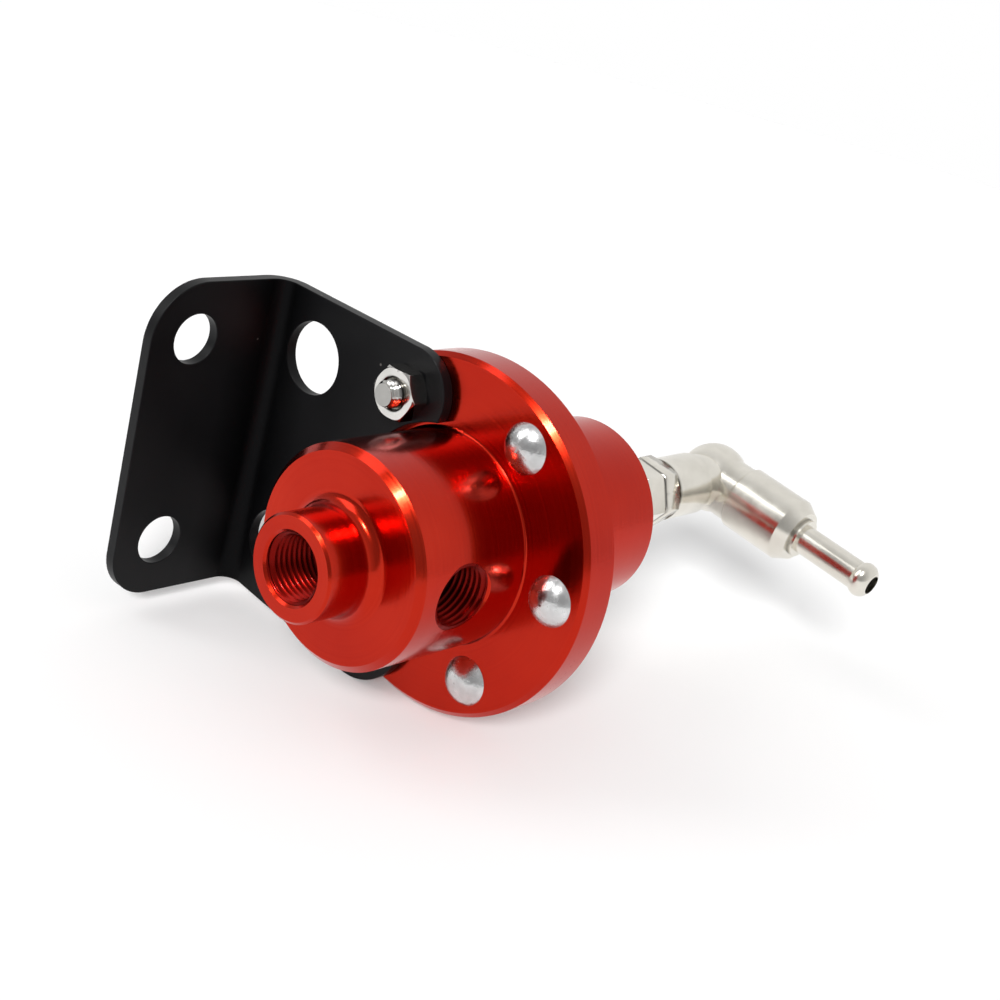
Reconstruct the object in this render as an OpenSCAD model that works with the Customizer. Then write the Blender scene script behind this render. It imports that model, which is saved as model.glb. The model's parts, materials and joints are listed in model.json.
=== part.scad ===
// Adjustable fuel pressure regulator: a turned two-piece housing with a sprung
// diaphragm valve, an adjusting screw with a swivel hose elbow, and a folded bracket.
//
// The regulator is drawn along its own axis: w runs along it towards the return port,
// with w = 0 on the front of the flange, u runs towards the bracket's mounting plate
// and v runs down. Module place() then sets it in the frame of the mounting face.

/* [Flange] */
// Outer diameter of the two clamped flanges
flange_d = 52; // [48:0.5:60]
// Thickness of the lower body's flange
body_flange_t = 3.4; // [2.8:0.1:5]
// Thickness of the bonnet's flange
bonnet_flange_t = 3; // [2.4:0.1:5]
// Chamfer on the outer edges of the flanges
flange_chamfer = 0.7; // [0.3:0.1:1.2]
// Room for a socket between the lower body and the bracket nuts' flats
nut_room = 1.7; // [1.2:0.1:2.2]

/* [Lower body] */
// Diameter of the lower body
body_d = 30.8; // [30:0.2:31.6]
// Height of the lower body above the flange
body_h = 20.3; // [18.6:0.1:26]
// Chamfer on the lower body's front edge
body_chamfer = 1; // [0.4:0.1:1.6]
// Diameter of the return port's boss
snout_d = 14.7; // [13.4:0.1:18]
// Height of the return port's boss above the body
snout_h = 8.2; // [6:0.1:12]
// Fillet where the boss leaves the body
snout_fillet = 2; // [0.5:0.1:3]
// Small edge break on the boss
snout_chamfer = 0.35; // [0.1:0.05:0.8]
// Fillet where the lower body leaves its flange
root_fillet = 0.4; // [0.2:0.1:0.4]

/* [Ports] */
// Bore of the threaded ports, at the thread's crest diameter
port_d = 9.7; // [8:0.1:10.4]
// Countersink at each port's mouth
port_chamfer = 0.35; // [0.1:0.05:0.8]
// Depth of the return port's thread
return_depth = 12; // [9:0.5:13]
// Height of the side port's axis above the flange
side_port_w = 11.6; // [11:0.1:12.4]
// Distance of the side port's floor from the axis
side_port_floor = 5.6; // [4.6:0.1:6.4]
// Direction of the side port about the axis, with the bracket at 0
side_port_angle = 180; // [150:1:210]
// Diameter of the feed drilling from the side port to the fuel chamber
feed_d = 3.6; // [2:0.1:4]
// Diameter of the return drilling on the axis
return_bore_d = 4.4; // [3:0.1:4.8]

/* [Fuel chamber] */
// Diameter of the fuel chamber under the diaphragm
chamber_d = 26; // [25:0.2:28]
// Depth of the fuel chamber above the flange front
chamber_top = 3.6; // [3:0.1:4.4]
// Outer diameter of the valve seat insert
seat_d = 7; // [6.4:0.1:8]
// Length of the valve seat insert below the chamber floor
seat_grip = 4.5; // [3:0.1:5]
// Height of the seat's lip above the flange front
seat_lip_w = 0.4; // [0.2:0.1:0.8]
// Width of the seat's lip
seat_lip_t = 0.8; // [0.5:0.1:1]
// Step from the return drilling to the seat's bore
seat_step = 0.4; // [0.2:0.1:0.6]

/* [Diaphragm and valve] */
// Diameter of the diaphragm
diaphragm_d = 34; // [32:0.2:35]
// Thickness of the diaphragm
diaphragm_t = 0.8; // [0.5:0.1:1.2]
// Height of the diaphragm's rolled convolution
convolution_h = 1.1; // [0.6:0.1:1.6]
// Diameter of the plates that clamp the diaphragm's middle
plate_d = 19; // [17:0.2:20]
// Thickness of the diaphragm plates
plate_t = 1; // [0.8:0.1:1.4]
// Height of the upper plate's rim, which centres the spring
plate_rim_h = 2; // [1.2:0.1:3]
// Diameter of the valve ball
ball_d = 5; // [4.6:0.1:5.4]
// Share of the ball's diameter that is ground off for its flat
ball_flat_share = 0.22; // [0.16:0.01:0.28]
// Wall of the ball's socket
socket_wall = 1.6; // [1.2:0.1:2]
// Height of the socket's wall past the ball's centre
socket_over = 0.4; // [0.2:0.1:0.6]
// Thickness of the ring that keeps the ball in its socket
retainer_t = 0.5; // [0.3:0.1:0.6]
// Diameter of the stem that clamps the plates
stem_d = 5; // [4:0.1:6]
// Height of the stem's peened head
stem_head_t = 0.8; // [0.5:0.1:1]
// Width of the stem's peened head past the stem
stem_head_lip = 0.8; // [0.4:0.1:1]

/* [Bonnet and spring] */
// Diameter of the bonnet
bonnet_d = 27.8; // [27:0.2:30]
// Height of the bonnet behind its flange
bonnet_h = 26; // [24:0.5:34]
// Rounded chamfer on the bonnet's rear edge
bonnet_chamfer = 1; // [0.4:0.1:1.6]
// Diameter of the spring chamber
spring_chamber_d = 22; // [21.4:0.2:23]
// Thickness of the bonnet's threaded end wall
bonnet_end_t = 5.5; // [4:0.1:7]
// Mean diameter of the main spring
spring_mean_d = 14.4; // [13.4:0.2:15]
// Wire diameter of the main spring
spring_wire_d = 1.9; // [1.4:0.1:2.2]
// Turns of the main spring
spring_turns = 5; // [4:0.5:6]
// Thickness of the upper spring seat
spring_seat_t = 3; // [2.4:0.1:4]
// Width of the spring seat past the spring
spring_seat_lip = 0.5; // [0.2:0.1:0.8]
// Height of the spring seat's pilot in the spring
pilot_h = 1.6; // [1:0.1:2.4]
// Room between the spring seat and the bonnet's end wall
seat_room = 0.8; // [0.4:0.1:1.5]

/* [Adjusting screw] */
// Thread diameter of the adjusting screw
screw_d = 6; // [5:0.1:6.4]
// Bore through the adjusting screw
screw_bore_d = 2.2; // [1.4:0.1:2.4]
// Chamfer on the screw's tip
screw_tip_edge = 0.6; // [0.3:0.1:1]
// Depth of the screw's tip in the spring seat
screw_socket = 1; // [0.6:0.1:1.6]
// Length of screw between the bonnet and the screw's hexagon
screw_reach = 14.8; // [13:0.1:20]
// Width across flats of the screw's hexagon
hex_af = 10; // [8:0.1:11]
// Length of the screw's hexagon
hex_h = 3.8; // [3:0.1:6]
// Width across flats of the lock nut
lock_nut_af = 10; // [9:0.1:12]
// Thickness of the lock nut
lock_nut_h = 5; // [3:0.1:6]
// Turn of the screw's hexagon and the lock nut about the axis
hex_turn = -8; // [-30:1:30]
// Diameter of the seal washer under the lock nut
seal_washer_d = 9.6; // [9:0.1:12]
// Thickness of the seal washer
seal_washer_t = 1.2; // [0.8:0.1:1.6]

/* [Swivel elbow] */
// Distance from the screw's hexagon to the elbow's corner
elbow_reach = 17; // [15.6:0.1:22]
// Diameter of the elbow's neck round the spigot
neck_d = 10.2; // [8.2:0.1:11]
// Length of the elbow's neck
neck_l = 8.8; // [8.4:0.1:10]
// Diameter of the waist between the neck and the round corner
waist_d = 9; // [8:0.1:10]
// Diameter of the elbow's round corner
knuckle_d = 11.7; // [11:0.1:13]
// Diameter of the elbow's short leg
leg_d = 10; // [9.4:0.1:10.6]
// Diameter of the elbow's barrel
barrel_d = 11; // [10.8:0.1:13]
// Distance of the barrel's shoulder from the corner
barrel_start = 6.5; // [5.6:0.1:9]
// Length of the barrel
barrel_l = 12.5; // [10:0.1:16]
// Length of the taper on the barrel's end
barrel_taper = 2.1; // [1:0.1:3]
// Depth of the taper on the barrel's end
taper_depth = 1.2; // [0.4:0.1:1.6]
// Edge break on the barrel's shoulder
shoulder_edge = 0.3; // [0.1:0.1:0.5]
// Diameter of the screw's swivel spigot
spigot_d = 5.2; // [4.6:0.1:5.4]
// Length of the swivel spigot in the neck
spigot_l = 7.6; // [7:0.1:8]
// Depth of the grooves round the spigot
swivel_groove_t = 0.84; // [0.7:0.02:0.9]
// Wire of the snap ring that holds the elbow
ring_wire_d = 1; // [0.8:0.1:1.1]
// Place of the snap ring as a share of the spigot
ring_place = 0.45; // [0.4:0.01:0.5]
// Place of the seal as a share of the spigot
seal_place = 0.75; // [0.72:0.01:0.8]
// Play of a ring along its groove
groove_play = 0.1; // [0.05:0.05:0.2]
// Air passage through the elbow
air_bore_d = 3; // [1.8:0.1:3.2]
// Direction of the barrel about the regulator's axis
elbow_angle = 173; // [100:1:260]

/* [Hose nipple] */
// Outer diameter of the nipple's tube
nipple_d = 4.8; // [4.4:0.1:5.4]
// Bore of the nipple's tube
nipple_bore_d = 3.2; // [2.4:0.1:3.4]
// Length of the nipple from the barrel to its tip
nipple_l = 14.8; // [12:0.1:24]
// Diameter of the bead that holds the hose
bead_d = 5.8; // [5.6:0.1:6.6]
// Radius of the bead's round section
bead_r = 1.8; // [1.4:0.1:2]
// Diameter of the nipple's collar against the barrel
collar_d = 6.6; // [6.2:0.1:8]
// Thickness of the nipple's collar
collar_t = 0.8; // [0.4:0.1:1.5]
// Length of nipple pressed into the barrel
nipple_grip = 6; // [4:0.1:7.5]

/* [Bracket] */
// Thickness of the bracket's sheet
sheet_t = 1.8; // [1.2:0.1:2.5]
// Width of the bracket
bracket_w = 49; // [48:0.5:56]
// Distance from the regulator's axis to the mounting plate's outer face
mount_u = 40; // [38:0.5:50]
// How far the lower ear flares past the bracket's width
ear_flare = 2.7; // [0:0.1:4]
// Length of the mounting plate in front of the flange
mount_plate_l = 24.9; // [24.4:0.1:34]
// Inner radius of the fold
fold_r = 2.6; // [1:0.1:4]
// Radius of the mounting plate's upper corner
upper_corner_r = 9; // [3:0.5:10]
// Radius of the mounting plate's lower corner
lower_corner_r = 7; // [3:0.5:10]
// Diameter of the mounting holes
mount_hole_d = 7.6; // [5:0.1:8]
// Distance between the mounting holes
mount_hole_spacing = 31.8; // [30:0.1:33]
// Distance of the mounting holes in front of the flange
mount_hole_w = 16.9; // [14:0.1:17.5]
// Diameter of the two lightening holes
light_hole_d = 10.8; // [8:0.1:11]
// Distance of the lightening holes from the regulator's axis, along the bracket
light_hole_u = 29.8; // [29:0.1:31]
// Distance between the lightening holes
light_hole_spacing = 30.4; // [28:0.1:33]
// Gap between the lower body and the bracket's cut-out
cutout_gap = 0.8; // [0.5:0.1:1.2]
// Width of the mouth that opens the rivet's notch to the cut-out
rivet_mouth_w = 7; // [5:0.1:7.4]

/* [Fasteners] */
// Shank diameter of the rivets
rivet_d = 4; // [3:0.1:4.2]
// Head diameter of the rivets
rivet_head_d = 7.2; // [6:0.1:7.6]
// Head height of the rivets
rivet_head_h = 2.1; // [1.2:0.1:2.6]
// Diameter of the rivets' formed tails
rivet_tail_d = 6.4; // [5:0.1:7]
// Height of the rivets' formed tails
rivet_tail_h = 1.3; // [0.8:0.1:2]
// Thread diameter of the bracket bolts
bolt_d = 4; // [3:0.1:4.2]
// Head diameter of the bracket bolts
bolt_head_d = 7.4; // [6:0.1:7.8]
// Head height of the bracket bolts
bolt_head_h = 2.6; // [1.8:0.1:3.5]
// Edge break on the bolts' heads
bolt_head_edge = 0.9; // [0.3:0.1:1.2]
// Width across flats of the bolts' hexagon sockets
hex_key = 2.5; // [2:0.1:3]
// Depth of the bolts' hexagon sockets
hex_key_t = 1.6; // [1:0.1:1.8]
// Depth of the bolts' thread
bolt_thread_t = 0.4; // [0.3:0.05:0.5]
// Length of the bolt that stands past its nut
bolt_tip = 1.9; // [0.6:0.1:3]
// Width across flats of the bracket nuts
nut_af = 7; // [6.4:0.1:7.4]
// Thickness of the bracket nuts
nut_h = 3.2; // [2:0.1:4]
// Countersink at the mouth of the nuts' thread
nut_countersink = 0.5; // [0.2:0.1:0.7]
// Share of a hexagon's corner that its end chamfer takes
hex_chamfer_share = 0.6; // [0.3:0.1:1]

/* [Fits] */
// Radial play of a fastener in its hole
hole_play = 0.1; // [0.05:0.05:0.2]
// Radial play between pieces that are pressed or seated together
seat_play = 0.02; // [0.01:0.01:0.04]
// Radial play between pieces that turn or slide on each other
run_play = 0.05; // [0.03:0.01:0.06]
// Free space beside a piece that moves
free_gap = 0.3; // [0.2:0.05:0.4]

/* [Hidden] */
// Depth that a cut runs past a face
over = 1;
// How far a straight edge sinks into the round that it runs onto
lap = 0.02;
fastener_step = 60;
fastener_r = (body_d + nut_af) / 2 + nut_room;
bolt_angles = [-fastener_step, fastener_step];
rivet_angles = [0, 2 * fastener_step, 3 * fastener_step, 4 * fastener_step];

// Heights along the regulator's axis
joint_w = -body_flange_t;
flange_back_w = joint_w - bonnet_flange_t;
bonnet_end_w = flange_back_w - bonnet_h;
spring_chamber_end_w = bonnet_end_w + bonnet_end_t;
snout_end_w = body_h + snout_h;
return_floor_w = snout_end_w - return_depth;
seat_floor_w = chamber_top + seat_grip;
diaphragm_front_w = joint_w + diaphragm_t;
plate_front_w = diaphragm_front_w + plate_t;
plate_back_w = joint_w - plate_t;
spring_seat_back_w = spring_chamber_end_w + seat_room;
spring_seat_front_w = spring_seat_back_w + spring_seat_t;
hex_front_w = bonnet_end_w - screw_reach;
hex_back_w = hex_front_w - hex_h;
lock_nut_front_w = hex_front_w + lock_nut_h;
seal_washer_front_w = lock_nut_front_w + seal_washer_t;
elbow_w = hex_back_w - elbow_reach;
neck_front_w = hex_back_w - free_gap;
neck_back_w = neck_front_w - neck_l;
spigot_end_w = hex_back_w - spigot_l;

// The valve ball's flat bears on the seat's lip
ball_flat_w = seat_lip_w;
ball_w = ball_flat_w - ball_d / 2 + ball_d * ball_flat_share;
socket_top_w = ball_w + socket_over;
socket_d = ball_d + 2 * socket_wall;
stem_head_d = stem_d + 2 * stem_head_lip;
stem_back_w = plate_back_w - stem_head_t;

// Convolution of the diaphragm, between the plates and the clamped rim
convolution_r = (chamber_d + plate_d) / 4;
convolution_half = (chamber_d - plate_d) / 4 - free_gap;
relief_h = convolution_h + diaphragm_t;

// Swivel of the elbow on the screw's spigot
ring_w = hex_back_w - spigot_l * ring_place;
seal_w = hex_back_w - spigot_l * seal_place;
spigot_neck_d = spigot_d - 2 * swivel_groove_t;
elbow_bore_d = spigot_d + 2 * run_play;
seal_wire_d = swivel_groove_t + run_play - 2 * seat_play;
ring_groove_h = ring_wire_d + 2 * groove_play;
seal_groove_h = seal_wire_d + 2 * groove_play;
barrel_end = barrel_start + barrel_l;
nipple_tip = barrel_end + nipple_l;

spring_bottom_w = plate_back_w;
spring_top_w = spring_seat_front_w;
spring_sides = 10;
spring_steps = 20;

bracket_cutout_d = body_d + 2 * cutout_gap;
rivet_notch_d = rivet_head_d + 2 * cutout_gap;
fold_u = mount_u - fold_r - sheet_t;
upper_ear_r = bracket_w / 2 - fastener_r * sin(fastener_step);
lower_ear_r = upper_ear_r + ear_flare;
lower_ear_at = fastener_r * [cos(fastener_step), sin(fastener_step)];
upper_ear_at = fastener_r * [cos(fastener_step), -sin(fastener_step)];
nut_front_w = sheet_t + nut_h;
bolt_tip_w = nut_front_w + bolt_tip;
bolt_core_d = bolt_d - 2 * bolt_thread_t;
screw_tip_w = spring_seat_back_w + screw_socket;
hex_ratio = 2 / sqrt(3);

$fn = 64;

// Sets u, v, w into the frame of the mounting face
module place() {
    translate([mount_u, mount_hole_w, 0])
        rotate([0, 180, 0])
            rotate([90, 0, 0])
                children();
}

// A cylinder along the axis between two heights
module rod(d, from_w, to_w) {
    low = min(from_w, to_w);
    translate([0, 0, low])
        cylinder(d = d, h = abs(to_w - from_w));
}

// A cone frustum along the axis, from one height and diameter to another
module cone(d_low, low_w, d_high, high_w) {
    translate([0, 0, low_w])
        cylinder(d1 = d_low, d2 = d_high, h = high_w - low_w);
}

// A hexagonal prism along the axis, with both ends turned to a chamfer
module hexagon(af, low_w, high_w) {
    corner_d = af * hex_ratio;
    edge = hex_chamfer_share * (corner_d - af) / 2;
    intersection() {
        translate([0, 0, low_w])
            cylinder(d = corner_d, h = high_w - low_w, $fn = 6);
        rotate_extrude()
            polygon([
                [0, low_w],
                [af / 2, low_w],
                [corner_d / 2, low_w + edge],
                [corner_d / 2, high_w - edge],
                [af / 2, high_w],
                [0, high_w]
            ]);
    }
}

// Copies its children to the given angles on the fastener circle
module at_fasteners(angles) {
    for (angle = angles)
        rotate([0, 0, angle])
            translate([fastener_r, 0, 0])
                children();
}

// Turns its children so that their axis points along the side port
module side_port_axis() {
    translate([0, 0, side_port_w])
        rotate([0, 0, side_port_angle])
            rotate([0, 90, 0])
                children();
}

// The outline of the lower body: flange, barrel, fillet and boss
module body_profile() {
    flange_r = flange_d / 2;
    body_r = body_d / 2;
    snout_r = snout_d / 2;
    difference() {
        polygon([
            [0, joint_w],
            [flange_r, joint_w],
            [flange_r, -flange_chamfer],
            [flange_r - flange_chamfer, 0],
            [body_r + root_fillet, 0],
            [body_r + root_fillet, root_fillet],
            [body_r, root_fillet],
            [body_r, body_h - body_chamfer],
            [body_r - body_chamfer, body_h],
            [snout_r + snout_fillet, body_h],
            [snout_r + snout_fillet, body_h + snout_fillet],
            [snout_r, body_h + snout_fillet],
            [snout_r, snout_end_w - snout_chamfer],
            [snout_r - snout_chamfer, snout_end_w],
            [0, snout_end_w]
        ]);
        translate([snout_r + snout_fillet, body_h + snout_fillet])
            circle(r = snout_fillet);
        translate([body_r + root_fillet, root_fillet])
            circle(r = root_fillet);
    }
}

module fastener_holes() {
    at_fasteners(rivet_angles)
        rod(rivet_d + 2 * hole_play, flange_back_w - over, over);
    at_fasteners(bolt_angles)
        rod(bolt_d + 2 * hole_play, flange_back_w - over, over);
}

// The bore of a threaded port from its floor to its mouth, with the countersink
module port(floor_w, mouth_w) {
    rod(port_d, floor_w, mouth_w + over);
    cone(port_d, mouth_w - port_chamfer, port_d + 2 * (port_chamfer + over), mouth_w + over);
}

module lower_body() {
    feed_r = (side_port_floor + chamber_d / 2) / 2;
    color("firebrick")
        place()
            difference() {
                rotate_extrude()
                    body_profile();
                fastener_holes();
                rod(diaphragm_d + 2 * hole_play, joint_w - over, diaphragm_front_w);
                rod(chamber_d, joint_w, chamber_top);
                rod(seat_d + 2 * seat_play, joint_w, seat_floor_w);
                rod(return_bore_d, joint_w, snout_end_w);
                port(return_floor_w, snout_end_w);
                side_port_axis()
                    port(side_port_floor, body_d / 2);
                rotate([0, 0, side_port_angle])
                    translate([feed_r, 0, 0])
                        rod(feed_d, 0, side_port_w);
            }
}

module bonnet() {
    flange_r = flange_d / 2;
    bonnet_r = bonnet_d / 2;
    relief_flare = (chamber_d - spring_chamber_d) / relief_h;
    color("firebrick")
        place()
            difference() {
                rotate_extrude()
                    polygon([
                        [0, joint_w],
                        [flange_r, joint_w],
                        [flange_r, flange_back_w + flange_chamfer],
                        [flange_r - flange_chamfer, flange_back_w],
                        [bonnet_r, flange_back_w],
                        [bonnet_r, bonnet_end_w + bonnet_chamfer],
                        [bonnet_r - bonnet_chamfer, bonnet_end_w],
                        [0, bonnet_end_w]
                    ]);
                fastener_holes();
                rod(spring_chamber_d, spring_chamber_end_w, joint_w + over);
                cone(spring_chamber_d, joint_w - relief_h, chamber_d + relief_flare * over, joint_w + over);
                rod(screw_d + 2 * run_play, bonnet_end_w - over, joint_w);
            }
}

// The folded sheet seen along v: nut plate, fold and mounting plate
module bracket_section() {
    outer_r = fold_r + sheet_t;
    square([fold_u, sheet_t]);
    translate([mount_u - sheet_t, outer_r])
        square([sheet_t, mount_plate_l - outer_r]);
    translate([fold_u, outer_r])
        intersection() {
            difference() {
                circle(r = outer_r);
                circle(r = fold_r);
            }
            translate([0, -outer_r])
                square(outer_r);
        }
}

// Where a straight edge from a point runs onto an ear, on the side that turn gives
function ear_touch(start, centre, r, turn) =
    let (run = centre - start)
    let (reach = norm(run))
    let (heading = atan2(run[1], run[0]) + turn * asin(r / reach))
    start + sqrt(reach * reach - r * r) * [cos(heading), sin(heading)];

// The bracket's outline seen along the axis, with an ear round each bolt
module bracket_outline() {
    half_w = bracket_w / 2;
    polygon([
        [mount_u + over, -half_w],
        [mount_u + over, half_w],
        [fold_u, half_w],
        ear_touch([fold_u, half_w], lower_ear_at, lower_ear_r - lap, -1),
        lower_ear_at,
        upper_ear_at,
        ear_touch([fold_u, -half_w], upper_ear_at, upper_ear_r - lap, 1),
        [fold_u, -half_w]
    ]);
    translate(lower_ear_at)
        circle(r = lower_ear_r);
    translate(upper_ear_at)
        circle(r = upper_ear_r);
}

// What a corner radius takes off a square corner at the origin, along +x and +y
module corner_waste(r, depth) {
    difference() {
        translate([-over, -over, -over])
            cube([r + over, r + over, depth + 2 * over]);
        translate([r, r, -2 * over])
            cylinder(r = r, h = depth + 4 * over);
    }
}

module bracket() {
    half_w = bracket_w / 2;
    span = fastener_r + lower_ear_r + half_w;
    color("black")
        place()
            difference() {
                intersection() {
                    translate([0, span, 0])
                        rotate([90, 0, 0])
                            linear_extrude(height = 2 * span)
                                bracket_section();
                    translate([0, 0, -over])
                        linear_extrude(height = mount_plate_l + 2 * over)
                            bracket_outline();
                }
                rod(bracket_cutout_d, -over, sheet_t + over);
                translate([fastener_r, 0, 0])
                    rod(rivet_notch_d, -over, sheet_t + over);
                translate([0, -rivet_mouth_w / 2, -over])
                    cube([fastener_r, rivet_mouth_w, sheet_t + 2 * over]);
                at_fasteners(bolt_angles)
                    rod(bolt_d + 2 * hole_play, -over, sheet_t + over);
                for (side = [-1, 1]) {
                    translate([light_hole_u, side * light_hole_spacing / 2, 0])
                        rod(light_hole_d, -over, sheet_t + over);
                    translate([0, side * mount_hole_spacing / 2, mount_hole_w])
                        rotate([0, 90, 0])
                            rod(mount_hole_d, mount_u - sheet_t - over, mount_u + over);
                }
                for (side = [0, 1])
                    mirror([0, side, 0])
                        translate([mount_u, -half_w, mount_plate_l])
                            rotate([0, -90, 0])
                                mirror([1, 0, 0])
                                    corner_waste([upper_corner_r, lower_corner_r][side], sheet_t);
            }
}

// A domed head of a given width and height that stands on a height
module dome(d, h, base_w) {
    r = (d * d / 4 + h * h) / (2 * h);
    translate([0, 0, base_w])
        intersection() {
            translate([0, 0, h - r])
                sphere(r = r);
            cylinder(d = d, h = h);
        }
}

module rivets() {
    color("lightgray")
        place()
            at_fasteners(rivet_angles) {
                dome(rivet_head_d, rivet_head_h, 0);
                rod(rivet_d, flange_back_w, 0);
                translate([0, 0, flange_back_w])
                    mirror([0, 0, 1])
                        dome(rivet_tail_d, rivet_tail_h, 0);
            }
}

module bracket_bolts() {
    head_back_w = flange_back_w - bolt_head_h;
    head_r = bolt_head_d / 2;
    color("silver")
        place()
            at_fasteners(bolt_angles)
                difference() {
                    rotate_extrude()
                        polygon([
                            [0, head_back_w],
                            [head_r - bolt_head_edge, head_back_w],
                            [head_r, head_back_w + bolt_head_edge],
                            [head_r, flange_back_w],
                            [bolt_d / 2, flange_back_w],
                            [bolt_d / 2, nut_front_w],
                            [bolt_core_d / 2, nut_front_w],
                            [bolt_core_d / 2, bolt_tip_w],
                            [0, bolt_tip_w]
                        ]);
                    translate([0, 0, head_back_w - over])
                        cylinder(d = hex_key * hex_ratio, h = over + hex_key_t, $fn = 6);
                }
}

module bracket_nuts() {
    hole_d = bolt_d + 2 * seat_play;
    color("silver")
        place()
            at_fasteners(bolt_angles)
                difference() {
                    hexagon(nut_af, sheet_t, nut_front_w);
                    rod(hole_d, sheet_t - over, nut_front_w + over);
                    cone(hole_d, nut_front_w - nut_countersink, hole_d + 2 * (nut_countersink + over),
                        nut_front_w + over);
                }
}

module valve_seat() {
    lip_d = return_bore_d - 2 * seat_step;
    lip_edge_d = lip_d + 2 * seat_lip_t;
    color("goldenrod")
        place()
            difference() {
                rotate_extrude()
                    polygon([
                        [0, seat_lip_w],
                        [lip_edge_d / 2, seat_lip_w],
                        [seat_d / 2, seat_lip_w + (seat_d - lip_edge_d) / 2],
                        [seat_d / 2, seat_floor_w],
                        [0, seat_floor_w]
                    ]);
                rod(lip_d, seat_lip_w - over, seat_floor_w + over);
            }
}

// Half of the diaphragm's section: clamped rim, rolled convolution and middle
module diaphragm_profile() {
    rim_r = diaphragm_d / 2;
    roll_in = convolution_r - convolution_half;
    roll_out = convolution_r + convolution_half;
    polygon([
        [stem_d / 2 + seat_play, joint_w],
        [roll_in, joint_w],
        [convolution_r, joint_w - convolution_h],
        [roll_out, joint_w],
        [rim_r, joint_w],
        [rim_r, diaphragm_front_w],
        [roll_out - diaphragm_t / 2, diaphragm_front_w],
        [convolution_r, diaphragm_front_w - convolution_h],
        [roll_in + diaphragm_t / 2, diaphragm_front_w],
        [stem_d / 2 + seat_play, diaphragm_front_w]
    ]);
}

module diaphragm() {
    color("dimgray")
        place()
            rotate_extrude()
                diaphragm_profile();
}

// Plate, ball socket and peened stem, turned as one piece
module lower_diaphragm_plate() {
    color("goldenrod")
        place()
            difference() {
                rotate_extrude()
                    polygon([
                        [0, stem_back_w],
                        [stem_d / 2, stem_back_w],
                        [stem_head_d / 2, plate_back_w],
                        [stem_d / 2, plate_back_w],
                        [stem_d / 2, diaphragm_front_w],
                        [plate_d / 2, diaphragm_front_w],
                        [plate_d / 2, plate_front_w],
                        [socket_d / 2, plate_front_w],
                        [socket_d / 2, socket_top_w],
                        [0, socket_top_w]
                    ]);
                translate([0, 0, ball_w])
                    sphere(d = ball_d + 2 * run_play);
                rod(ball_d + 2 * run_play, ball_w, socket_top_w + over);
            }
}

module upper_diaphragm_plate() {
    rim_in = spring_mean_d + spring_wire_d + 2 * free_gap;
    color("silver")
        place()
            difference() {
                rod(plate_d, plate_back_w - plate_rim_h, joint_w);
                rod(rim_in, plate_back_w - plate_rim_h - over, plate_back_w);
                rod(stem_d + 2 * seat_play, plate_back_w - over, joint_w + over);
            }
}

module valve_ball() {
    color("silver")
        place()
            intersection() {
                translate([0, 0, ball_w])
                    sphere(d = ball_d);
                rod(2 * ball_d, ball_flat_w - 2 * ball_d, ball_flat_w);
            }
}

// Thin ring on the ball's socket that keeps the ball in it
module ball_retainer() {
    color("goldenrod")
        place()
            difference() {
                rod(socket_d, socket_top_w, socket_top_w + retainer_t);
                translate([0, 0, ball_w])
                    sphere(d = ball_d + 2 * run_play);
            }
}

// Height of the spring's wire at a share of its length, with a closed turn at each end
function spring_height(turn) =
    let (low = spring_top_w + spring_wire_d / 2)
    let (high = spring_bottom_w - spring_wire_d / 2)
    let (closed = spring_wire_d)
    let (middle = high - low - 2 * closed)
    turn < 1 ? low + closed * turn
    : turn > spring_turns - 1 ? high - closed * (spring_turns - turn)
    : low + closed + middle * (turn - 1) / (spring_turns - 2);

module main_spring() {
    rings = spring_turns * spring_steps;
    points = [
        for (i = [0:rings])
            let (turn = i / spring_steps)
            let (angle = 360 * turn)
            for (k = [0:spring_sides - 1])
                let (phi = 360 * k / spring_sides)
                let (r = spring_mean_d / 2 + spring_wire_d / 2 * cos(phi))
                [r * cos(angle), r * sin(angle), spring_height(turn) + spring_wire_d / 2 * sin(phi)]
    ];
    sides = [
        for (i = [0:rings - 1])
            for (k = [0:spring_sides - 1])
                let (next = (k + 1) % spring_sides)
                let (a = i * spring_sides)
                [a + k, a + next, a + spring_sides + next, a + spring_sides + k]
    ];
    start = [for (k = [0:spring_sides - 1]) spring_sides - 1 - k];
    finish = [for (k = [0:spring_sides - 1]) rings * spring_sides + k];
    color("gainsboro")
        place()
            polyhedron(points = points, faces = concat(sides, [start, finish]));
}

module spring_seat() {
    pilot_r = (spring_mean_d - spring_wire_d) / 2 - free_gap;
    rim_r = (spring_mean_d + spring_wire_d) / 2 + spring_seat_lip;
    pilot_w = spring_seat_front_w + pilot_h;
    color("silver")
        place()
            difference() {
                rotate_extrude()
                    polygon([
                        [0, spring_seat_back_w],
                        [rim_r, spring_seat_back_w],
                        [rim_r, spring_seat_front_w],
                        [pilot_r, spring_seat_front_w],
                        [pilot_r, pilot_w],
                        [0, pilot_w]
                    ]);
                rod(screw_d + 2 * run_play, spring_seat_back_w - over, screw_tip_w);
                rod(screw_bore_d, spring_seat_back_w - over, pilot_w + over);
            }
}

module adjusting_screw() {
    end_w = screw_tip_w - seat_play;
    middle_w = (hex_front_w + hex_back_w) / 2;
    color("silver")
        place()
            difference() {
                union() {
                    rotate_extrude()
                        polygon([
                            [0, spigot_end_w],
                            [spigot_d / 2, spigot_end_w],
                            [spigot_d / 2, middle_w],
                            [screw_d / 2, middle_w],
                            [screw_d / 2, end_w - screw_tip_edge],
                            [screw_d / 2 - screw_tip_edge, end_w],
                            [0, end_w]
                        ]);
                    rotate([0, 0, hex_turn])
                        hexagon(hex_af, hex_back_w, hex_front_w);
                }
                rod(screw_bore_d, spigot_end_w - over, end_w + over);
                swivel_groove(ring_w, ring_groove_h);
                swivel_groove(seal_w, seal_groove_h);
            }
}

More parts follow.
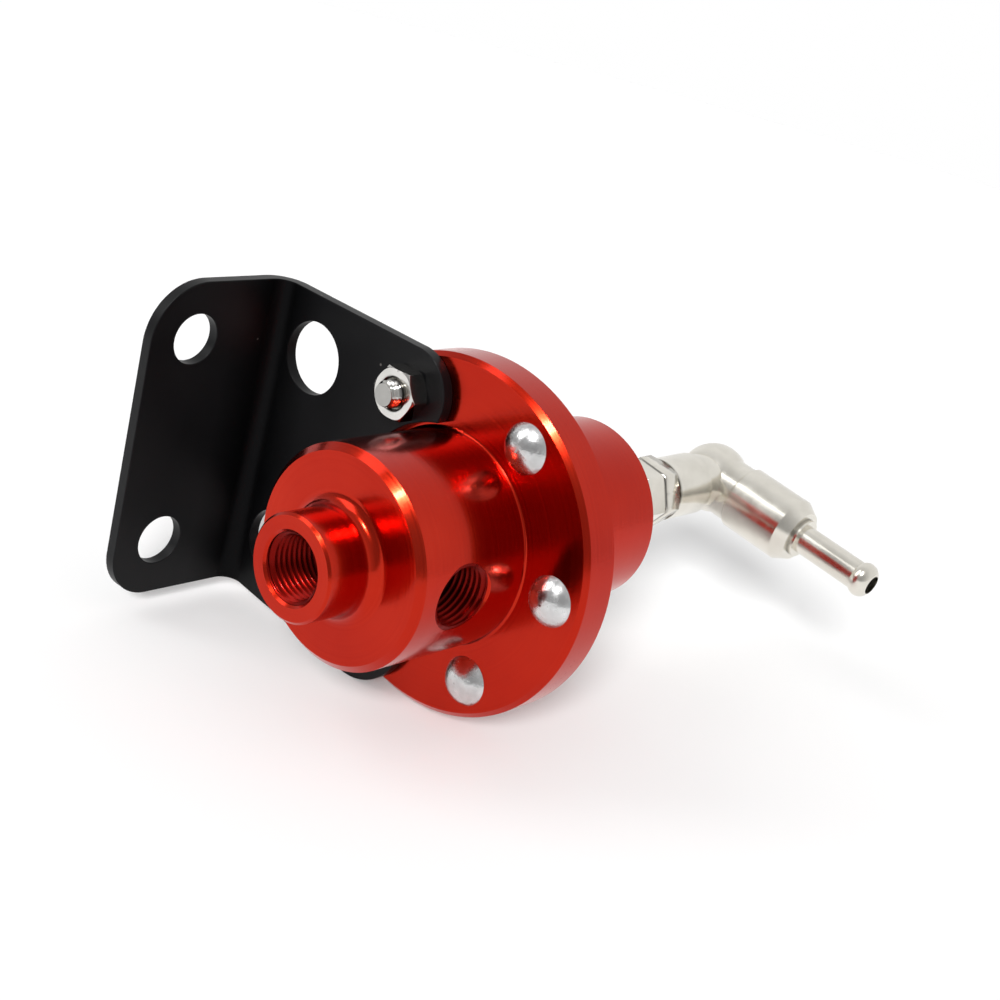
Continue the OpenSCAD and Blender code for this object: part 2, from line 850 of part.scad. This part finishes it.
// A square groove round the spigot, of a given height
module swivel_groove(mid_w, height) {
    half = height / 2;
    difference() {
        rod(spigot_d + 2 * over, mid_w - half, mid_w + half);
        rod(spigot_neck_d, mid_w - half - over, mid_w + half + over);
    }
}

module seal_washer() {
    color("black")
        place()
            difference() {
                rod(seal_washer_d, lock_nut_front_w, seal_washer_front_w);
                rod(screw_d + 2 * run_play, lock_nut_front_w - over, seal_washer_front_w + over);
            }
}

module lock_nut() {
    color("silver")
        place()
            difference() {
                rotate([0, 0, hex_turn])
                    hexagon(lock_nut_af, hex_front_w, lock_nut_front_w);
                rod(screw_d + 2 * run_play, hex_front_w - over, lock_nut_front_w + over);
            }
}

// Sets its children in the elbow's corner, with their axis along the barrel
module barrel_axis() {
    translate([0, 0, elbow_w])
        rotate([0, 0, elbow_angle])
            rotate([0, 90, 0])
                children();
}

module swivel_elbow() {
    barrel_r = barrel_d / 2;
    neck_step = (neck_d - waist_d) / 2;
    color("lightgray")
        place()
            difference() {
                union() {
                    rotate_extrude()
                        polygon([
                            [0, elbow_w],
                            [waist_d / 2, elbow_w],
                            [waist_d / 2, neck_back_w - neck_step],
                            [neck_d / 2, neck_back_w],
                            [neck_d / 2, neck_front_w],
                            [0, neck_front_w]
                        ]);
                    translate([0, 0, elbow_w])
                        sphere(d = knuckle_d);
                    barrel_axis()
                        rotate_extrude()
                            polygon([
                                [0, 0],
                                [leg_d / 2, 0],
                                [leg_d / 2, barrel_start],
                                [barrel_r - shoulder_edge, barrel_start],
                                [barrel_r, barrel_start + shoulder_edge],
                                [barrel_r, barrel_end - barrel_taper],
                                [barrel_r - taper_depth, barrel_end],
                                [0, barrel_end]
                            ]);
                }
                rod(elbow_bore_d, spigot_end_w - free_gap, neck_front_w + over);
                rod(air_bore_d, elbow_w, neck_front_w);
                rod(spigot_d + ring_wire_d, ring_w - ring_groove_h / 2, ring_w + ring_groove_h / 2);
                barrel_axis() {
                    rod(air_bore_d, 0, barrel_end + over);
                    rod(nipple_d + 2 * seat_play, barrel_end - nipple_grip, barrel_end + over);
                }
            }
}

// A round-wire ring on the swivel spigot
module wire_ring(mid_w, inner_d, wire_d) {
    translate([0, 0, mid_w])
        rotate_extrude()
            translate([(inner_d + wire_d) / 2, 0])
                circle(d = wire_d);
}

module swivel_seal() {
    color("black")
        place()
            wire_ring(seal_w, spigot_neck_d + 2 * seat_play, seal_wire_d);
}

module swivel_ring() {
    color("silver")
        place()
            difference() {
                wire_ring(ring_w, spigot_d - ring_wire_d - 2 * run_play, ring_wire_d);
                translate([0, -ring_wire_d, ring_w - over])
                    cube([spigot_d, 2 * ring_wire_d, 2 * over]);
            }
}

// Half of the nipple's section: tube, collar and rounded bead, less the bore
module nipple_section() {
    tube_r = nipple_d / 2;
    foot = barrel_end - nipple_grip;
    difference() {
        union() {
            translate([0, foot])
                square([tube_r, nipple_tip - bead_r - foot]);
            translate([0, barrel_end])
                square([collar_d / 2, collar_t]);
            translate([bead_d / 2 - bead_r, nipple_tip - bead_r])
                circle(r = bead_r);
        }
        translate([-bead_r, foot - over])
            square([bead_r + nipple_bore_d / 2, nipple_tip - foot + 2 * over]);
    }
}

module hose_nipple() {
    color("lightgray")
        place()
            barrel_axis()
                rotate_extrude()
                    nipple_section();
}

lower_body();
bonnet();
bracket();
rivets();
bracket_bolts();
bracket_nuts();
valve_seat();
diaphragm();
lower_diaphragm_plate();
upper_diaphragm_plate();
valve_ball();
ball_retainer();
main_spring();
spring_seat();
adjusting_screw();
seal_washer();
lock_nut();
swivel_elbow();
swivel_seal();
swivel_ring();
hose_nipple();
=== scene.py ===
import json
import math

import bmesh
import bpy
from mathutils import Matrix, Vector


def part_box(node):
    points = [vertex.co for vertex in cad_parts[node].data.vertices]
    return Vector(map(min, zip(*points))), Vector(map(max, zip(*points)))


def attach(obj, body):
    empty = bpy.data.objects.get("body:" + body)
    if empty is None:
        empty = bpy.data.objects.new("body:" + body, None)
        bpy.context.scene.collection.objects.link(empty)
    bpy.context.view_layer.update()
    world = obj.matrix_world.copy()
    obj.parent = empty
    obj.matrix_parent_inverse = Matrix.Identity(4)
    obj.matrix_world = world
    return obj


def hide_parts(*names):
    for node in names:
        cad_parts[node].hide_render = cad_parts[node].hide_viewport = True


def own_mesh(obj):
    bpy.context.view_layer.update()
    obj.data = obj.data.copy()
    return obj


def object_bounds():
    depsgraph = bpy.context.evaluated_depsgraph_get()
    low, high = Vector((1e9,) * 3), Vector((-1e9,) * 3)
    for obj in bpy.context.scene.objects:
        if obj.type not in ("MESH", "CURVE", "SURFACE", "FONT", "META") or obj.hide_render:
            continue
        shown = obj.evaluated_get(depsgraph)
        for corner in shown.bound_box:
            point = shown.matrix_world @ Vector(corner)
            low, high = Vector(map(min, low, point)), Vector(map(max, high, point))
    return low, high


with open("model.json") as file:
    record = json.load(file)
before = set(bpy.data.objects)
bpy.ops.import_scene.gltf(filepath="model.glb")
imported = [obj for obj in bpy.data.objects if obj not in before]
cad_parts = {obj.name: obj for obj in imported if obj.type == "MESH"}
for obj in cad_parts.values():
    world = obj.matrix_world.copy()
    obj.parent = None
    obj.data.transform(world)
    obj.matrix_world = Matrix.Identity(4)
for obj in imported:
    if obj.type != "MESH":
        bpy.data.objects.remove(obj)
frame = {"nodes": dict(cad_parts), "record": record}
nodes = frame["nodes"]
cad_lo, cad_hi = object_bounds()
mounts = {mount["name"]: mount for mount in frame["record"]["mounts"]}

MM = 0.001
ALONG = (0, 1, 0)                             # direction of the regulator's axis
AXIS_X = mounts["return_port"]["pos_m"][0]    # the axis runs at this X, at Z = 0
BODY_R = 15.4 * MM                            # radius of the lower body
FASTENER_R = 20.6 * MM                        # circle that the two bolts stand on
BOLT_ANGLES = (120, 240)                      # degrees about the axis, from +X towards +Z
FOLD = (2.6 * MM, 14.3 * MM, 0)               # where the bracket is folded, along Z
BARREL_END = 19 * MM                          # from the elbow's corner to the end of its barrel

PORT_R = mounts["return_port"]["dims"]["r_mm"] * MM
PORT_PITCH = 0.907 * MM
PORT_DEPTH = 0.56 * MM                        # how far the thread stands in from the bore
PORT_COUNTERSINK = 0.35 * MM
SIDE_PORT_Y = mounts["side_port"]["pos_m"][1]
SIDE_PORT_FLOOR = 5.7 * MM                    # distance of the port's floor from the axis


def bolt_centre(angle):
    """X and Z of the bolt at an angle about the regulator's axis."""
    turn = math.radians(angle)
    return AXIS_X + FASTENER_R * math.cos(turn), FASTENER_R * math.sin(turn)


# Node helpers

class Shader:
    """A material's node tree with short calls for the nodes that the surfaces share."""

    # The Mix node has sockets for every type, and these are the ones for colours
    MIX_A, MIX_B, MIX_RESULT = 6, 7, 2

    def __init__(self, name):
        self.mat = bpy.data.materials.new(name)
        self.mat.use_nodes = True
        self.tree = self.mat.node_tree
        self.tree.nodes.clear()
        out = self.tree.nodes.new("ShaderNodeOutputMaterial")
        self.bsdf = self.tree.nodes.new("ShaderNodeBsdfPrincipled")
        self.link(self.bsdf.outputs[0], out.inputs["Surface"])
        self.object = self.tree.nodes.new("ShaderNodeTexCoord").outputs["Object"]

    def link(self, a, b):
        self.tree.links.new(a, b)

    def put(self, socket, value):
        if isinstance(value, bpy.types.NodeSocket):
            self.link(value, socket)
        else:
            socket.default_value = value

    def set(self, **values):
        for key, value in values.items():
            self.put(self.bsdf.inputs[key.replace("_", " ")], value)

    def math(self, op, a, b=0.0):
        n = self.tree.nodes.new("ShaderNodeMath")
        n.operation = op
        self.put(n.inputs[0], a)
        self.put(n.inputs[1], b)
        return n.outputs[0]

    def blend(self, a, share_a, b, share_b):
        """Two values, each times its share."""
        return self.math("ADD", self.math("MULTIPLY", a, share_a), self.math("MULTIPLY", b, share_b))

    def radius(self, x, y):
        return self.math("SQRT", self.math("ADD", self.math("MULTIPLY", x, x), self.math("MULTIPLY", y, y)))

    def vec(self, op, a, b=(0, 0, 0)):
        n = self.tree.nodes.new("ShaderNodeVectorMath")
        n.operation = op
        self.put(n.inputs[0], a)
        self.put(n.inputs[1], b)
        return n.outputs["Value"] if op in ("LENGTH", "DOT_PRODUCT") else n.outputs["Vector"]

    def split(self, v):
        n = self.tree.nodes.new("ShaderNodeSeparateXYZ")
        self.put(n.inputs[0], v)
        return n.outputs

    def noise(self, scale, detail):
        n = self.tree.nodes.new("ShaderNodeTexNoise")
        self.put(n.inputs["Vector"], self.object)
        self.put(n.inputs["Scale"], scale)
        self.put(n.inputs["Detail"], detail)
        return n.outputs["Fac"]

    def lines(self, w, scale, detail):
        n = self.tree.nodes.new("ShaderNodeTexNoise")
        n.noise_dimensions = "1D"
        self.put(n.inputs["W"], w)
        self.put(n.inputs["Scale"], scale)
        self.put(n.inputs["Detail"], detail)
        self.put(n.inputs["Roughness"], 0.62)
        return n.outputs["Fac"]

    def specks(self, scale, size):
        n = self.tree.nodes.new("ShaderNodeTexVoronoi")
        self.put(n.inputs["Vector"], self.object)
        self.put(n.inputs["Scale"], scale)
        return self.math("LESS_THAN", n.outputs["Distance"], size)

    def ramp(self, fac, *stops):
        n = self.tree.nodes.new("ShaderNodeValToRGB")
        self.put(n.inputs["Fac"], fac)
        ramp = n.color_ramp
        while len(ramp.elements) < len(stops):
            ramp.elements.new(0.5)
        for element, (place, colour) in zip(ramp.elements, stops):
            element.position = place
            element.color = (*colour, 1)
        return n.outputs["Color"]

    def mix(self, fac, a, b):
        n = self.tree.nodes.new("ShaderNodeMix")
        n.data_type = "RGBA"
        self.put(n.inputs["Factor"], fac)
        self.put(n.inputs[self.MIX_A], a)
        self.put(n.inputs[self.MIX_B], b)
        return n.outputs[self.MIX_RESULT]

    def span(self, value, low, high, to_low, to_high):
        n = self.tree.nodes.new("ShaderNodeMapRange")
        for socket, v in zip(n.inputs, (value, low, high, to_low, to_high)):
            self.put(socket, v)
        return n.outputs["Result"]

    def bump(self, height, distance, strength=1.0):
        n = self.tree.nodes.new("ShaderNodeBump")
        self.put(n.inputs["Height"], height)
        self.put(n.inputs["Distance"], distance)
        self.put(n.inputs["Strength"], strength)
        return n.outputs["Normal"]

    def turned(self):
        """How far a point is along the lathe's cut about the regulator's axis, and the cut's direction."""
        off = self.vec("SUBTRACT", self.object, (AXIS_X, 0, 0))
        x, y, z = self.split(off)
        return self.math("ADD", y, self.radius(x, z)), self.vec("CROSS_PRODUCT", ALONG, off)


# Materials. Scales of noise are in cells a metre, and depths of bump in metres.

def port_shade(s):
    """Share of colour left down in a port: painted shade, darker the deeper the cut thread lies."""
    past_return_port = AXIS_X + PORT_R + PORT_COUNTERSINK
    side_deep_x, side_light_x = 47.5 * MM, 52 * MM
    return_light_y, return_deep_y = -4 * MM, 3 * MM
    x, y, _ = s.split(s.object)
    in_side_port = s.math("GREATER_THAN", x, past_return_port)
    in_return_port = s.math("SUBTRACT", 1.0, in_side_port)
    side_shade = s.span(x, side_deep_x, side_light_x, 0.06, 1.0)
    return_shade = s.span(y, return_light_y, return_deep_y, 1.0, 0.25)
    return s.blend(in_side_port, side_shade, in_return_port, return_shade)


def red_anodised(name, colours, rough, coat, in_port=False):
    """Turned and anodised aluminium, with faint rings that the lathe left."""
    s = Shader(name)
    cut, tangent = s.turned()
    fine = s.lines(cut, scale=2700, detail=3)
    broad = s.lines(cut, scale=900, detail=2)
    cloud = s.noise(scale=60, detail=3)
    low, mid, high = colours
    colour = s.ramp(s.blend(fine, 0.3, cloud, 0.7), (0.25, low), (0.55, mid), (0.85, high))
    # Painted shade: the colour is darkened down in the ports
    if in_port:
        colour = s.vec("MULTIPLY", colour, port_shade(s))
    gloss = s.span(s.blend(fine, 0.7, broad, 0.3), 0.3, 0.7, *rough)
    height = s.math("ADD", s.math("MULTIPLY", fine, 0.7), broad)
    s.set(Base_Color=colour, Metallic=1.0, Roughness=gloss, Anisotropic=0.35, Tangent=tangent,
          Coat_Weight=coat, Coat_Roughness=0.08, Normal=s.bump(height, 0.0000042))
    return s.mat


def black_coating():
    """Satin powder coat with a fine orange peel and a little dust."""
    s = Shader("black_coating")
    peel = s.noise(scale=900, detail=3)
    cloud = s.noise(scale=45, detail=4)
    dust = s.math("MULTIPLY", s.specks(scale=260, size=0.035), s.math("GREATER_THAN", cloud, 0.60))
    spot = s.math("MAXIMUM", dust, s.specks(scale=90, size=0.018))
    base = s.ramp(cloud, (0.3, (0.0035, 0.0035, 0.004)), (0.7, (0.006, 0.006, 0.0065)))
    colour = s.mix(s.math("MULTIPLY", spot, 0.5), base, (0.16, 0.15, 0.14, 1))
    # Painted shade: inside the fold the coating is made to mirror little, so the crease stays dark
    x, y, _ = s.split(s.vec("SUBTRACT", s.object, FOLD))
    s.set(Base_Color=colour, Metallic=s.span(s.radius(x, y), 1.5 * MM, 8.0 * MM, 0.8, 0.0),
          Roughness=s.span(cloud, 0.3, 0.7, 0.34, 0.46), Specular_IOR_Level=0.16,
          Normal=s.bump(peel, 0.000012, 0.6))
    return s.mat


def plated(name, colours, rough, wave=0.00001, dents=240, seams=()):
    """Bright metal with a slightly uneven skin, and painted shade in the seams where parts meet.

    wave is the depth of the uneven skin and dents its scale. A seam is a disc of painted shade: its centre,
    its normal, how far out the shade reaches and the share of colour that is left.
    """
    seam_core, seam_edge = 0.12 * MM, 0.5 * MM
    s = Shader(name)
    cloud = s.noise(dents, detail=3)
    fine = s.noise(scale=2600, detail=2)
    low, high = colours
    colour = s.ramp(cloud, (0.3, low), (0.7, high))
    # Painted shade: each seam darkens the colour near it
    for centre, normal, reach, left in seams:
        arm = s.vec("SUBTRACT", s.object, centre)
        along = s.math("ABSOLUTE", s.vec("DOT_PRODUCT", arm, normal))
        out = s.vec("LENGTH", s.vec("CROSS_PRODUCT", arm, normal))
        off = s.math("MAXIMUM", along, s.math("SUBTRACT", out, reach))
        colour = s.vec("MULTIPLY", colour, s.span(off, seam_core, seam_edge, left, 1.0))
    height = s.math("ADD", cloud, s.math("MULTIPLY", fine, 0.12))
    s.set(Base_Color=colour, Metallic=1.0, Normal=s.bump(height, wave),
          Roughness=s.span(s.blend(cloud, 0.6, fine, 0.4), 0.35, 0.65, *rough))
    return s.mat


def rubber():
    s = Shader("black_rubber")
    grain = s.noise(scale=3000, detail=3)
    s.set(Base_Color=s.ramp(grain, (0.3, (0.018, 0.018, 0.018)), (0.7, (0.032, 0.031, 0.030))),
          Roughness=s.span(grain, 0.3, 0.7, 0.6, 0.8), Normal=s.bump(grain, 0.00001))
    return s.mat


def bolt_seams():
    """Painted shade about each bolt where it leaves its nut, and darker colour at the edge of its end."""
    nut_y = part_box("bracket_nuts")[0].y
    end_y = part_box("bracket_bolts")[0].y
    seams = []
    for x, z in map(bolt_centre, BOLT_ANGLES):
        seams.append(((x, nut_y, z), ALONG, 2.2 * MM, 0.25))
        seams.append(((x, end_y, z), ALONG, 2.5 * MM, 0.6))
    return seams


def fitting_seams():
    """Painted shade between lock nut and hexagon, at the elbow's start and round the nipple's root."""
    nipple = mounts["hose_nipple"]
    corner = Vector((AXIS_X, nipple["pos_m"][1], 0))
    axis = Vector(nipple["axis"])
    return [((AXIS_X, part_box("lock_nut")[1].y, 0), ALONG, 8 * MM, 0.25),
            ((AXIS_X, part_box("swivel_elbow")[0].y, 0), ALONG, 8 * MM, 0.6),
            (corner + BARREL_END * axis, axis, 3.0 * MM, 0.25)]


MATS = {
    "red_anodised": red_anodised(
        "red_anodised", colours=((0.41, 0.012, 0.004), (0.49, 0.019, 0.006), (0.57, 0.030, 0.011)),
        rough=(0.15, 0.23), coat=0.12),
    # Painted shade: a darker copy of the red for the threads down in the ports
    "red_thread": red_anodised(
        "red_thread", colours=((0.15, 0.003, 0.002), (0.20, 0.005, 0.003), (0.26, 0.008, 0.004)),
        rough=(0.26, 0.40), coat=0.05, in_port=True),
    "black_coating": black_coating(),
    "rivet_aluminium": plated(
        "rivet_aluminium", colours=((0.54, 0.54, 0.54), (0.76, 0.76, 0.76)), rough=(0.18, 0.30),
        wave=0.00012, dents=520),
    "zinc_steel": plated(
        "zinc_steel", colours=((0.62, 0.61, 0.58), (0.78, 0.76, 0.73)), rough=(0.10, 0.17),
        seams=bolt_seams()),
    "nickel_brass": plated(
        "nickel_brass", colours=((0.71, 0.68, 0.61), (0.81, 0.78, 0.71)), rough=(0.17, 0.26),
        seams=fitting_seams()),
    "plain_brass": plated(
        "plain_brass", colours=((0.62, 0.42, 0.15), (0.74, 0.53, 0.22)), rough=(0.2, 0.32)),
    "spring_steel": plated(
        "spring_steel", colours=((0.42, 0.42, 0.43), (0.56, 0.56, 0.57)), rough=(0.22, 0.34)),
    "black_rubber": rubber(),
}
for part in frame["record"]["subparts"]:
    mesh = nodes[part["node"]].data
    mesh.materials.clear()
    mesh.materials.append(MATS[part["material_slot"]])


# Edges

def round_edges(name, width, segments):
    """Rounds a node's sharp edges, as its coating or a tumbler does."""
    obj = nodes[name]
    weld = obj.modifiers.new("weld", "WELD")
    weld.merge_threshold = 0.001 * MM
    flat = obj.modifiers.new("flat", "DECIMATE")
    flat.decimate_type = "DISSOLVE"
    flat.angle_limit = math.radians(0.5)
    bevel = obj.modifiers.new("bevel", "BEVEL")
    bevel.width = width
    bevel.segments = segments
    bevel.limit_method = "ANGLE"
    bevel.angle_limit = math.radians(40)
    obj.modifiers.new("normals", "WEIGHTED_NORMAL")


round_edges("bracket", width=0.55 * MM, segments=4)
round_edges("bracket_nuts", width=0.16 * MM, segments=3)
round_edges("lock_nut", width=0.16 * MM, segments=3)


# Threads

ROOT_FLAT = 0.09      # share of a half pitch that is flat at the thread's root
FLANK_RISE = 0.80     # share of a half pitch that its flank takes


def flank(x):
    """Height of a thread at a share of its pitch, with narrow flats at crest and root."""
    rise = 1 - abs(2 * x - 1)
    return min(1, max(0, (rise - ROOT_FLAT) / FLANK_RISE))


def smooth(t):
    t = min(1, max(0, t))
    return t * t * (3 - 2 * t)


def thread_mesh(bm, to_row, length, pitch, base_r, height, ends=None, fade=(0.6, 0.6), around=80, rows=8):
    """Adds a helical thread to bm. to_row(s, angle, r) gives a point at a distance along the thread's axis.

    height is the thread's depth, below zero for a thread that stands inwards. ends(angle, r) limits the
    length, and fade is how many pitches the thread takes to grow at its start and to die out at its end.
    """
    turns = int(math.ceil(length / pitch)) + 1
    grid = []
    for i in range(around):
        angle = 2 * math.pi * i / around
        column = []
        for j in range(turns * rows + 1):
            s = (j / rows + i / around - 1) * pitch
            s = min(length, max(0, s))
            size = flank((j % rows) / rows)
            size *= smooth(s / (fade[0] * pitch)) * smooth((length - s) / (fade[1] * pitch))
            r = base_r + height * size
            if ends is not None:
                s = min(s, ends(angle, r))
            column.append(bm.verts.new(to_row(s, angle, r)))
        grid.append(column)
    for i in range(around):
        step = rows if i == around - 1 else 0
        for j in range(turns * rows - step):
            a, b = grid[i], grid[(i + 1) % around]
            bm.faces.new((a[j], a[j + 1], b[j + 1 + step], b[j + step]))


def about_axis(start_y, x=AXIS_X, z=0.0):
    """Rule for a thread that runs along +Y from start_y, about a line at x and z."""
    return lambda s, angle, r: (x + r * math.cos(angle), start_y + s, z + r * math.sin(angle))


def new_piece(name, bm, slot, body, sharp=50, look=None):
    """Makes a piece of bm that rides on a body. look names another material than the slot's own."""
    same_place = 1e-7
    bmesh.ops.remove_doubles(bm, verts=bm.verts, dist=same_place)
    bmesh.ops.dissolve_degenerate(bm, dist=same_place, edges=bm.edges)
    bmesh.ops.recalc_face_normals(bm, faces=bm.faces)
    mesh = bpy.data.meshes.new(name)
    bm.to_mesh(mesh)
    bm.free()
    for p in mesh.polygons:
        p.use_smooth = True
    mesh.set_sharp_from_angle(angle=math.radians(sharp))
    obj = bpy.data.objects.new(name, mesh)
    bpy.context.scene.collection.objects.link(obj)
    mesh.materials.append(MATS[look or slot])
    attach(obj, body)
    return obj


PORT_ROOT_R = PORT_R - 0.01 * MM      # the thread's root, just inside the bore's wall


def return_port_thread():
    """The thread starts under the countersink and runs along +Y."""
    bm = bmesh.new()
    mouth_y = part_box("lower_body")[0].y + PORT_COUNTERSINK
    thread_mesh(bm, about_axis(mouth_y), length=11.5 * MM, pitch=PORT_PITCH,
                base_r=PORT_ROOT_R, height=-PORT_DEPTH)
    new_piece("return_port_thread", bm, "red_anodised", "housing", look="red_thread")


def side_port_thread():
    """The thread runs out along +X to the saddle that the bore cuts in the round body."""
    saddle_top = BODY_R - PORT_COUNTERSINK
    saddle_gap = 0.06 * MM

    def out_along_x(s, angle, r):
        return AXIS_X + SIDE_PORT_FLOOR + s, SIDE_PORT_Y + r * math.cos(angle), r * math.sin(angle)

    def saddle(angle, r):
        skin = math.sqrt(BODY_R ** 2 - (r * math.sin(angle)) ** 2)
        return min(saddle_top, skin - saddle_gap) - SIDE_PORT_FLOOR

    bm = bmesh.new()
    thread_mesh(bm, out_along_x, length=9.4 * MM, pitch=PORT_PITCH,
                base_r=PORT_ROOT_R, height=-PORT_DEPTH, ends=saddle, fade=(0.6, 0.05))
    new_piece("side_port_thread", bm, "red_anodised", "housing", look="red_thread")


def bolt_thread(name, angle):
    """Thread on the core of a bolt that stands past its nut."""
    x, z = bolt_centre(angle)
    bm = bmesh.new()
    thread_mesh(bm, about_axis(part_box("bracket_bolts")[0].y, x, z), length=2.4 * MM, pitch=0.7 * MM,
                base_r=1.605 * MM, height=0.37 * MM, fade=(0.9, 0.05), around=48)
    new_piece(name, bm, "zinc_steel", "housing")


def threaded_screw():
    """The adjusting screw's own hexagon and spigot, with a cut thread in place of the plain shank."""
    shank_r = 3.0 * MM
    off_shank = 0.02 * MM
    hex_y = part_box("lock_nut")[1].y
    hex_margin = 0.01 * MM

    def on_shank(v):
        r = math.hypot(v.co.x - AXIS_X, v.co.z)
        return abs(r - shank_r) < off_shank and v.co.y < hex_y + hex_margin

    bm = bmesh.new()
    bm.from_mesh(nodes["adjusting_screw"].data)
    shank = [f for f in bm.faces if all(on_shank(v) for v in f.verts)]
    start_y = min(v.co.y for f in shank for v in f.verts)
    bmesh.ops.delete(bm, geom=shank, context="FACES")
    thread_mesh(bm, about_axis(start_y), length=hex_y - start_y, pitch=1.0 * MM,
                base_r=2.42 * MM, height=0.57 * MM, fade=(0.8, 0.8), around=64)
    screw = new_piece("threaded_screw", bm, "nickel_brass", "adjuster", sharp=40)
    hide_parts("adjusting_screw")


def coil_spring():
    """The main spring's own coil, copied into a piece of its own on the housing. In the real regulator it
    shortens as the screw feeds the spring seat in.
    """
    bm = bmesh.new()
    bm.from_mesh(nodes["main_spring"].data)
    spring = new_piece("coil_spring", bm, "spring_steel", "housing", sharp=40)
    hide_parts("main_spring")
    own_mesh(spring)


return_port_thread()
side_port_thread()
for thread_name, bolt_angle in zip(("upper_bolt_thread", "lower_bolt_thread"), BOLT_ANGLES):
    bolt_thread(thread_name, bolt_angle)
threaded_screw()
coil_spring()


# Studio

MIDDLE = Vector((AXIS_X, 20 * MM, 0))     # what the softboxes are aimed at
SOFTBOX_FAR = 3.0                         # about how far the softboxes stand off, in metres
FLOOR_Z = cad_lo.z - 0.05 * MM
FLOOR_R = 0.75
FLOOR_LIFT = 0.08                         # glow that the camera sees on the floor
FLOOR_MIRRORED = 0.06                     # glow that bright metal mirrors


def light_object(light, direction):
    """An object for a light that shines along a direction."""
    obj = bpy.data.objects.new(light.name, light)
    obj.rotation_mode = "QUATERNION"
    obj.rotation_quaternion = direction.to_track_quat("-Z", "Y")
    bpy.context.scene.collection.objects.link(obj)
    return obj


def softbox(name, direction, size, power):
    """A soft panel that stands in a direction from the part."""
    light = bpy.data.lights.new(name, "AREA")
    light.shape = "RECTANGLE"
    light.size, light.size_y = size
    light.energy = power
    place = MIDDLE + SOFTBOX_FAR * Vector(direction)
    obj = light_object(light, MIDDLE - place)
    obj.location = place
    return obj


def key_light():
    """The lamp that throws the shadows. Bright metal doesn't mirror it."""
    light = bpy.data.lights.new("key_light", "SUN")
    light.energy = 3.1
    light.angle = math.radians(15)
    light_object(light, Vector((-0.45, 0.74, -0.50))).visible_glossy = False


def white_floor():
    """A matt white table that the camera and the mirrored rays see a little brighter than it is lit."""
    s = Shader("studio_floor")
    s.set(Base_Color=(0.9, 0.9, 0.9, 1), Roughness=0.9, Specular_IOR_Level=0.1)
    path = s.tree.nodes.new("ShaderNodeLightPath").outputs
    glow = s.blend(path["Is Camera Ray"], FLOOR_LIFT, path["Is Glossy Ray"], FLOOR_MIRRORED)
    s.set(Emission_Color=(1, 1, 1, 1), Emission_Strength=glow)
    return s.mat


def studio_floor():
    bm = bmesh.new()
    bmesh.ops.create_circle(bm, cap_ends=True, segments=96, radius=FLOOR_R)
    mesh = bpy.data.meshes.new("studio_floor")
    bm.to_mesh(mesh)
    bm.free()
    mesh.materials.append(white_floor())
    floor = bpy.data.objects.new("studio_floor", mesh)
    floor.location.z = FLOOR_Z
    bpy.context.scene.collection.objects.link(floor)


def studio_world():
    """White for the camera, dimmer as light on the part, and graded from front to back in bright metal."""
    world = bpy.data.worlds.new("studio")
    bpy.context.scene.world = world
    world.use_nodes = True
    tree = world.node_tree
    tree.nodes.clear()

    def background(strength):
        n = tree.nodes.new("ShaderNodeBackground")
        n.inputs["Color"].default_value = (1, 1, 1, 1)
        n.inputs["Strength"].default_value = strength
        return n

    def choose(ray, if_not, if_so):
        n = tree.nodes.new("ShaderNodeMixShader")
        tree.links.new(ray, n.inputs["Fac"])
        tree.links.new(if_not.outputs[0], n.inputs[1])
        tree.links.new(if_so.outputs[0], n.inputs[2])
        return n

    # The room behind the part is a bright wall, and the room before it is dim
    coords = tree.nodes.new("ShaderNodeTexCoord")
    split = tree.nodes.new("ShaderNodeSeparateXYZ")
    tree.links.new(coords.outputs["Generated"], split.inputs[0])
    grade = tree.nodes.new("ShaderNodeMapRange")
    tree.links.new(split.outputs["Y"], grade.inputs["Value"])
    for socket, value in (("From Min", -0.75), ("From Max", 0.35), ("To Min", 0.36), ("To Max", 0.9)):
        grade.inputs[socket].default_value = value
    mirrored = background(1.0)
    tree.links.new(grade.outputs["Result"], mirrored.inputs["Strength"])

    path = tree.nodes.new("ShaderNodeLightPath").outputs
    lighting = choose(path["Is Glossy Ray"], background(0.48), mirrored)
    sky = choose(path["Is Camera Ray"], lighting, background(1.0))
    out = tree.nodes.new("ShaderNodeOutputWorld")
    tree.links.new(sky.outputs[0], out.inputs["Surface"])


def photo_camera():
    """The camera at the photograph's viewing angle."""
    place = Vector((178.425, -157.220, 94.077)) * MM
    forward = Vector((-0.5576, 0.7466, -0.3629)).normalized()
    right = Vector((0.7210, 0.6522, 0.2339)).normalized()
    up = right.cross(forward).normalized()
    right = forward.cross(up).normalized()
    data = bpy.data.cameras.new("camera")
    data.sensor_width = 36
    data.lens = 62.03
    data.clip_start = 0.005
    data.clip_end = 100
    cam = bpy.data.objects.new("camera", data)
    cam.matrix_world = Matrix.Translation(place) @ Matrix((right, up, -forward)).transposed().to_4x4()
    bpy.context.scene.collection.objects.link(cam)
    bpy.context.scene.camera = cam


sparkle = softbox("front_softbox", direction=(0.11, -0.59, 0.80), size=(0.40, 0.40), power=60)
sparkle.visible_diffuse = False
softbox("left_softbox", direction=(-0.56, -0.56, 0.62), size=(1.2, 2.0), power=19)
key_light()
studio_floor()
studio_world()
photo_camera()
bpy.context.scene.view_settings.view_transform = "Standard"
